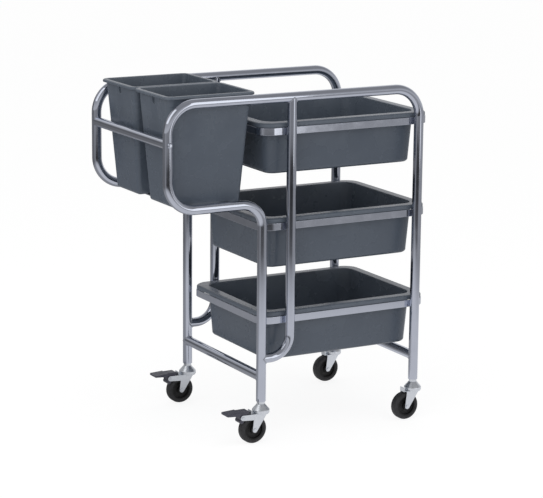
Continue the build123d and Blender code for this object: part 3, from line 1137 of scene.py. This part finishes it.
@dataclass
class Caster:
    """Swivel caster: plug and cup fixed to the leg, fork and wheel below, and a brake on the bin end."""

    corner: str
    x: float
    y: float
    braked: bool
    foot_z: float = TubeFrame.foot_z
    wheel: float = 75.0
    trail: float = 25.0
    pressed: float = 0.05  # gap between pieces pressed together
    end_flat: float = 1.0  # radius of the flat in the middle of a turned end
    # Roundings of edges
    crisp: float = 0.2
    broken: float = 0.3
    eased: float = 0.4
    rolled: float = 0.6
    moulded: float = 0.8
    # Tyre and core
    tyre_width: float = 24.0
    tyre_thick: float = 10.5
    tyre_round: float = 6.8
    groove_in: float = 2.2  # from the tyre's inner edge to its groove
    groove_side: float = 0.4
    groove_floor: float = 0.6
    groove_depth: float = 0.5
    core_rim: float = 3.0
    core_width: float = 22.0
    core_web: float = 8.0
    core_fillet: float = 2.5
    boss: float = 20.0
    boss_width: float = 26.0
    # Axle and fork
    axle: float = 8.0
    rivet_head: float = 10.0
    rivet_head_height: float = 2.0
    rivet_dome: float = 1.3
    fork_half: float = 16.5  # from the wheel's middle to the outside of a leg
    fork_edge: Softening = Softening(0.5)
    # Cup
    cup: float = 46.0
    cup_wall: float = 2.0
    cup_z: float = 79.85
    cup_roof_z: float = 85.4
    cup_roof_round: float = 1.0
    cup_skirt: float = 7.5
    cup_shoulder: float = 3.0
    cup_top_z: float = 101.85
    cup_top_round: float = 1.2
    # Plug and kingpin
    neck: float = 21.0
    plug: float = 22.3
    plug_length: float = 45.0
    plug_nose: float = 1.0
    kingpin: float = 10.0
    kingpin_head: float = 15.0
    kingpin_dome: float = 1.2
    kingpin_foot_z: float = 73.15
    kingpin_head_z: float = 76.65
    # Brake
    brake_pin: float = 6.0
    brake_pin_back: float = 60.0
    brake_pin_z: float = 74.0
    pedal_edge: Softening = Softening(0.9)

    def node(self, piece: str) -> str:
        """Name of this caster's CAD node for a piece."""
        return f"{self.corner}_{piece}"

    def put(self, piece: str, suffix: str, mesh: bpy.types.Mesh, finish: Finish) -> None:
        """Place a piece of this caster over its CAD node."""
        place(f"{self.node(piece)}_{suffix}", mesh, finish, stands_for=[self.node(piece)])

    def build_fixed(self) -> None:
        """Build the plug in the leg and the cup under it."""
        hub = Vector((self.x, self.y, 0))
        top, plug_top = self.cup_top_z + self.pressed, self.foot_z + self.plug_length
        stem = [
            Corner(self.end_flat, self.kingpin_foot_z),
            Corner(self.kingpin_head / 2, self.kingpin_foot_z, self.kingpin_dome),
            Corner(self.kingpin_head / 2, self.kingpin_head_z, self.eased),
            Corner(self.kingpin / 2, self.kingpin_head_z),
            Corner(self.kingpin / 2, top),
            Corner(self.neck / 2, top, self.eased),
            Corner(self.neck / 2, self.foot_z, self.broken),
            Corner(self.plug / 2, self.foot_z, self.broken),
            Corner(self.plug / 2, plug_top, self.plug_nose),
            Corner(self.end_flat, plug_top),
        ]
        mesh = turned(rounded_line(stem, turn=30.0), hub, UP).mesh(self.node("stem"))
        self.put("stem", "turned", mesh, Finishes.ZINC)
        bore, inside = self.kingpin / 2 + self.pressed, self.cup / 2 - self.cup_wall
        cup = [
            Corner(bore, self.cup_roof_z),
            Corner(inside, self.cup_roof_z, self.cup_roof_round),
            Corner(inside, self.cup_z, self.eased),
            Corner(self.cup / 2, self.cup_z, self.rolled),
            Corner(self.cup / 2, self.cup_z + self.cup_skirt, self.cup_shoulder),
            Corner(self.neck / 2, self.cup_top_z, self.cup_top_round),
            Corner(bore, self.cup_top_z, self.broken),
        ]
        shell = turned(rounded_line(cup, turn=11.25, closed=True), hub, UP, closed=True)
        self.put("swivel_cup", "pressed", shell.mesh(self.node("swivel_cup")), Finishes.ZINC)

    def rivet(self, piece: str, shank: float, x: float, z: float) -> None:
        """Build a pin across the fork with a low domed head on each side.

        Args:
            piece: Name of the piece.
            shank: Diameter of the pin.
            x: Place of its axis along X.
            z: Height of its axis.
        """
        seat = self.fork_half + self.pressed
        head = shank * self.rivet_head / self.axle
        end = seat + self.rivet_head_height
        half = [
            Corner(self.end_flat, end),
            Corner(head / 2, end, self.rivet_dome),
            Corner(head / 2, seat, self.crisp),
            Corner(shank / 2, seat),
        ]
        shell = turned(rounded_line(both_halves(half), turn=15.0), Vector((x, self.y, z)), ACROSS, sides=40)
        self.put(piece, "riveted", shell.mesh(self.node(piece)), Finishes.ZINC)

    def build_wheel(self) -> None:
        """Build the wheel's core and its tyre."""
        hub = Vector((self.x - self.trail, self.y, self.wheel / 2))
        seat = self.wheel / 2 - self.tyre_thick - self.pressed
        core = [
            Corner(self.axle / 2 + self.pressed, self.boss_width / 2, self.eased),
            Corner(self.boss / 2, self.boss_width / 2, self.moulded),
            Corner(self.boss / 2, self.core_web / 2, self.core_fillet),
            Corner(seat - self.core_rim, self.core_web / 2, self.core_fillet),
            Corner(seat - self.core_rim, self.core_width / 2, self.rolled),
            Corner(seat, self.core_width / 2, self.broken),
        ]
        stations = rounded_line(both_halves(core), turn=15.0, closed=True)
        shell = turned(stations, hub, ACROSS, sides=72, closed=True)
        self.put("wheel", "moulded", shell.mesh(self.node("wheel")), Finishes.HUB_NYLON)
        inner, side = seat + self.pressed, self.tyre_width / 2
        groove, floor = inner + self.groove_in, side - self.groove_depth
        floor_start = groove + self.groove_side
        floor_stop = floor_start + self.groove_floor
        tyre = [
            Corner(inner, side, self.moulded),
            Corner(groove, side, self.eased),
            Corner(floor_start, floor, self.broken),
            Corner(floor_stop, floor, self.broken),
            Corner(floor_stop + self.groove_side, side, self.eased),
            Corner(self.wheel / 2, side, self.tyre_round),
        ]
        stations = rounded_line(both_halves(tyre), turn=9.0, closed=True)
        shell = turned(stations, hub, ACROSS, sides=96, closed=True)
        self.put("tyre", "moulded", shell.mesh(self.node("tyre")), Finishes.TYRE_RUBBER)

    def build(self) -> None:
        """Build every piece of the caster."""
        self.build_fixed()
        self.put("fork", "pressed", self.fork_edge.mesh(self.node("fork")), Finishes.ZINC)
        dress(self.node("ball_ring"), Finishes.ZINC)
        self.rivet("axle", self.axle, self.x - self.trail, self.wheel / 2)
        self.build_wheel()
        if self.braked:
            self.rivet("brake_pin", self.brake_pin, self.x - self.brake_pin_back, self.brake_pin_z)
            pedal = self.pedal_edge.mesh(self.node("brake_pedal"))
            self.put("brake_pedal", "moulded", pedal, Finishes.PEDAL_NYLON)


@dataclass(frozen=True)
class SoftBox:
    """Studio lamp with a broad face."""

    name: str
    spot: tuple[float, float, float]  # metres
    aim: tuple[float, float, float]
    width: float
    height: float
    watts: float
    in_metal: bool = True  # whether bright metal shows the lamp's face

    def build(self) -> None:
        """Hang the lamp and aim it."""
        lamp = bpy.data.lights.new(self.name, "AREA")
        lamp.shape = "RECTANGLE"
        lamp.size, lamp.size_y = self.width, self.height
        lamp.energy = self.watts
        hung = stand(self.name, lamp)
        hung.location = self.spot
        hung.rotation_mode = "QUATERNION"
        hung.rotation_quaternion = (Vector(self.aim) - Vector(self.spot)).to_track_quat("-Z", "Y")
        hung.visible_camera = False
        hung.visible_glossy = self.in_metal


@dataclass
class Studio:
    """Pale floor, soft light, white surround and the camera at the photo's angle.

    Bright metal mirrors a painted reflection of the floor and the room, at levels of their own given as
    shares of white, with painted shade on the camera's side and low behind the object on the left.
    """

    # Floor as the camera sees it
    floor_rings: tuple[float, ...] = (0.5, 1.5, 4.0, 12.0, 30.0)  # radii in metres
    floor_sides: int = 96
    floor_colour: str = "f6f6f8"
    floor_glow: float = 0.86  # of white that the camera sees in the deepest shadow
    shadow_share: float = 0.2  # of the light on the floor that is added there, and that shadows take away
    # Floor and room as metal mirrors them: a painted reflection
    near_floor: float = 0.76  # level of the floor's painted reflection beside the object
    floor_steps: Steps = ((1.3, 2.4, -0.37), (4.0, 5.0, 0.04))  # its change with the metres away
    camera_steps: Steps = ((2.05, 2.6, 0.74), (2.6, 3.6, 0.14), (4.2, 5.0, -0.6))  # painted shade on the camera's side
    camera_turn: float = 4.0  # degrees from the camera to the middle of that side
    camera_spread: Pair = (0.66, 0.93)  # cosines from that middle between which the loss sets in
    left_loss: float = 0.5  # painted shade of the floor, on the left behind the object
    left_turn: float = -120.0  # degrees from the camera to the middle of that side
    left_floor_spread: Pair = (0.1, 0.7)
    front_level: float = 0.62  # of the room at the horizon
    front_steps: Steps = ((0.0, 0.7, -0.3), (0.7, 1.0, 0.03))  # its change with the sine of the height
    back_level: float = 0.8  # of the room behind the object
    back_turn: float = 180.0
    back_spread: Pair = (0.5, 0.8)
    left_level: float = 0.16  # level of the painted shade in the room, low on the left behind the object
    left_room_spread: Pair = (0.75, 0.92)
    left_height: Pair = (0.2, 0.4)  # sines of the height between which that ends
    room_tint: str = "f6f6f9"
    # Light and camera
    fill: Pair = (0.98, 0.46)  # light from all round, at the horizon and overhead
    camera_spot: tuple[float, float, float] = (-2.73095, -4.9409, 1.6996)  # metres
    azimuth: float = -29.38  # degrees, as are the next two
    elevation: float = 12.43
    roll: float = 0.58
    sensor_width: float = 36.0  # millimetres
    focal_pixels: float = 2162.64
    image: tuple[int, int] = (543, 498)
    image_middle: Pair = (278.76, 250.92)  # pixel that the camera's axis meets
    lamps: tuple[SoftBox, ...] = (
        SoftBox(
            "top_softbox",
            spot=(0.2, -0.6, 2.7),
            aim=(0.0, 0.0, 0.5),
            width=1.8,
            height=1.2,
            watts=8.0,
            in_metal=False,
        ),
        SoftBox(
            "key_softbox",
            spot=(-2.8, -2.8, 1.7),
            aim=(0.0, 0.0, 0.5),
            width=1.6,
            height=1.4,
            watts=21.0,
            in_metal=False,
        ),
        SoftBox(
            "right_softbox",
            spot=(1.15, -3.0, 1.68),
            aim=(0.0, 0.0, 1.68),
            width=0.8,
            height=3.0,
            watts=6.5,
        ),
        SoftBox(
            "left_softbox",
            spot=(-1.9, -0.2, 2.3),
            aim=(-0.2, -0.1, 0.8),
            width=1.8,
            height=1.6,
            watts=8.0,
        ),
    )

    @staticmethod
    def stepped(
        tree: bpy.types.NodeTree, value: bpy.types.NodeSocket, level: float, steps: Steps
    ) -> bpy.types.NodeSocket:
        """Turn a value into a level that changes in smooth steps.

        Args:
            tree: Node tree that gets the nodes.
            value: Output that is read.
            level: Level before the first step.
            steps: Where each step starts and stops, and by how much it changes the level.

        Returns:
            Output that gives the level.
        """
        total = level
        for start, stop, change in steps:
            step = add_node(
                tree,
                "ShaderNodeMapRange",
                {"interpolation_type": "SMOOTHSTEP"},
                {"Value": value, "From Min": start, "From Max": stop, "To Max": change},
            ).outputs["Result"]
            total = add_node(tree, "ShaderNodeMath", {"operation": "ADD"}, {0: total, 1: step}).outputs[0]
        return total

    def on_side(
        self, tree: bpy.types.NodeTree, way: bpy.types.NodeSocket, turn: float, spread: Pair
    ) -> bpy.types.NodeSocket:
        """Tell whether a direction points to one side of the object.

        Args:
            tree: Node tree that gets the nodes.
            way: Output that gives the direction.
            turn: Degrees from the camera to the middle of that side, seen from above.
            spread: Cosines from that middle between which the side begins.

        Returns:
            Output that is 1 on that side and 0 elsewhere.
        """
        side = Matrix.Rotation(math.radians(turn), 2) @ Vector(self.camera_spot).to_2d().normalized()
        cosine = add_node(
            tree, "ShaderNodeVectorMath", {"operation": "DOT_PRODUCT"}, {0: way, 1: side.to_3d()}
        ).outputs["Value"]
        return self.stepped(tree, cosine, 0.0, ((*spread, 1.0),))

    def build_floor(self) -> None:
        """Lay a round pale floor, white to the camera with a faint shadow, and in metal a painted reflection
        that dims away and darkens in painted shade.
        """
        shell = Shell()
        rings = []
        spokes = [Vector((math.cos(a), math.sin(a), 0)) for a in angles_round(self.floor_sides)]
        for radius in self.floor_rings:
            rings.append(shell.ring([spoke * radius / MM for spoke in spokes]))
        shell.join(rings)
        shell.cap(rings[0])
        floor = stand("studio_floor", shell.mesh("studio_floor"))
        made = bpy.data.materials.new("painted_floor_matt")
        tree = blank_nodes(made)
        spot = add_node(tree, "ShaderNodeTexCoord").outputs["Object"]
        away = add_node(tree, "ShaderNodeVectorMath", {"operation": "LENGTH"}, {0: spot}).outputs["Value"]
        way = add_node(tree, "ShaderNodeVectorMath", {"operation": "NORMALIZE"}, {0: spot}).outputs["Vector"]
        level = self.stepped(tree, away, self.near_floor, self.floor_steps)
        painted_dark = self.stepped(tree, away, 0.0, self.camera_steps)
        for turn, spread, loss in (
            (self.camera_turn, self.camera_spread, painted_dark),
            (self.left_turn, self.left_floor_spread, self.left_loss),
        ):
            side = self.on_side(tree, way, turn, spread)
            lost = add_node(tree, "ShaderNodeMath", {"operation": "MULTIPLY"}, {0: side, 1: loss}).outputs[0]
            kept = add_node(tree, "ShaderNodeMath", {"operation": "SUBTRACT"}, {0: 1.0, 1: lost}).outputs[0]
            level = add_node(
                tree, "ShaderNodeMath", {"operation": "MULTIPLY"}, {0: level, 1: kept}
            ).outputs[0]
        path = add_node(tree, "ShaderNodeLightPath").outputs
        colour, tint = linear(self.floor_colour), linear(self.room_tint)
        shade = [self.shadow_share] * 3 + [1.0]
        matt = add_node(tree, "ShaderNodeBsdfDiffuse", sockets={"Color": colour}).outputs[0]
        glow = add_node(tree, "ShaderNodeEmission", sockets={"Strength": self.floor_glow}).outputs[0]
        shaded = add_node(tree, "ShaderNodeBsdfDiffuse", sockets={"Color": shade}).outputs[0]
        white = add_node(tree, "ShaderNodeAddShader", sockets={0: glow, 1: shaded}).outputs[0]
        # Painted reflection: for glossy rays the floor glows at these levels, darkened in painted shade on
        # the camera's side and back left.
        painted_reflection = add_node(tree, "ShaderNodeEmission", sockets={"Color": tint, "Strength": level}).outputs[0]
        look = matt
        for ray, seen in (
            ("Is Transmission Ray", white),
            ("Is Camera Ray", white),
            ("Is Glossy Ray", painted_reflection),
        ):
            look = add_node(tree, "ShaderNodeMixShader", sockets={0: path[ray], 1: look, 2: seen}).outputs[0]
        add_node(tree, "ShaderNodeOutputMaterial", sockets={"Surface": look})
        floor.data.materials.append(made)

    def build_world(self) -> None:
        """Surround the object with light that is strongest at the horizon, and a painted reflection of a room
        that only metal sees.
        """
        world = bpy.data.worlds.new("studio")
        bpy.context.scene.world = world
        tree = blank_nodes(world)
        way = add_node(tree, "ShaderNodeTexCoord").outputs["Generated"]
        height = add_node(
            tree, "ShaderNodeVectorMath", {"operation": "DOT_PRODUCT"}, {0: way, 1: UP}
        ).outputs["Value"]
        room = self.stepped(tree, height, self.front_level, self.front_steps)
        behind = self.on_side(tree, way, self.back_turn, self.back_spread)
        left = self.on_side(tree, way, self.left_turn, self.left_room_spread)
        low = self.stepped(tree, height, 1.0, ((*self.left_height, -1.0),))
        low_left = add_node(tree, "ShaderNodeMath", {"operation": "MULTIPLY"}, {0: left, 1: low}).outputs[0]
        share, first, second, result = LEVEL_MIX
        for side, level in ((behind, self.back_level), (low_left, self.left_level)):
            room = add_node(
                tree, "ShaderNodeMix", {"data_type": "FLOAT"}, {share: side, first: room, second: level}
            ).outputs[result]
        fill = add_node(
            tree,
            "ShaderNodeMapRange",
            sockets={"Value": height, "To Min": self.fill[0], "To Max": self.fill[1]},
        ).outputs["Result"]
        path = add_node(tree, "ShaderNodeLightPath").outputs
        white = {"Color": (1.0, 1.0, 1.0, 1.0)}
        tinted = {"Color": linear(self.room_tint)}
        # Painted reflection of the room for glossy rays only, with painted shade low on the left behind the
        # object.
        painted_reflection = add_node(tree, "ShaderNodeBackground", sockets={**tinted, "Strength": room}).outputs[0]
        plain = add_node(tree, "ShaderNodeBackground", sockets=white).outputs[0]
        look = add_node(tree, "ShaderNodeBackground", sockets={**white, "Strength": fill}).outputs[0]
        for ray, seen in (
            ("Is Glossy Ray", painted_reflection),
            ("Is Transmission Ray", plain),
            ("Is Camera Ray", plain),
        ):
            look = add_node(tree, "ShaderNodeMixShader", sockets={0: path[ray], 1: look, 2: seen}).outputs[0]
        add_node(tree, "ShaderNodeOutputWorld", sockets={"Surface": look})

    def build_camera(self) -> None:
        """Set the camera where the photo was taken from."""
        turn, lift, roll = (math.radians(angle) for angle in (self.azimuth, self.elevation, self.roll))
        back = Vector((math.sin(turn) * math.cos(lift), -math.cos(turn) * math.cos(lift), math.sin(lift)))
        right = Vector((math.cos(turn), math.sin(turn), 0))
        up = back.cross(right)
        across = right * math.cos(roll) + up * math.sin(roll)
        upward = up * math.cos(roll) - right * math.sin(roll)
        lens = bpy.data.cameras.new("photo_camera")
        lens.sensor_fit = "HORIZONTAL"
        lens.sensor_width = self.sensor_width
        lens.lens = self.focal_pixels / self.image[0] * lens.sensor_width
        lens.shift_x = (self.image[0] / 2 - self.image_middle[0]) / self.image[0]
        lens.shift_y = (self.image_middle[1] - self.image[1] / 2) / self.image[0]
        camera = stand("photo_camera", lens)
        turned_to = Matrix((across, upward, back)).transposed().to_4x4()
        camera.matrix_world = Matrix.Translation(self.camera_spot) @ turned_to
        bpy.context.scene.camera = camera

    def build(self) -> None:
        """Build the floor, the surround, the lamps and the camera."""
        self.build_floor()
        self.build_world()
        for lamp in self.lamps:
            lamp.build()
        self.build_camera()
        bpy.context.scene.view_settings.view_transform = "Standard"


def main() -> None:
    """Build the sub-assemblies in order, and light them."""
    logging.basicConfig(level=logging.INFO, format="%(name)s: %(message)s")
    tubes = TubeFrame()
    tubes.build()
    Tiers().build()
    for side in Side:
        Bin.over(f"{side.word}_bin").build()
    Fittings().build()
    for side in Side:
        for end, x in (("left", tubes.left_leg_x), ("right", tubes.right_leg_x)):
            Caster(f"{side.word}_{end}", x, side.value * tubes.side_y, end == "left").build()
    Studio().build()


if __name__ == "__main__":
    main()
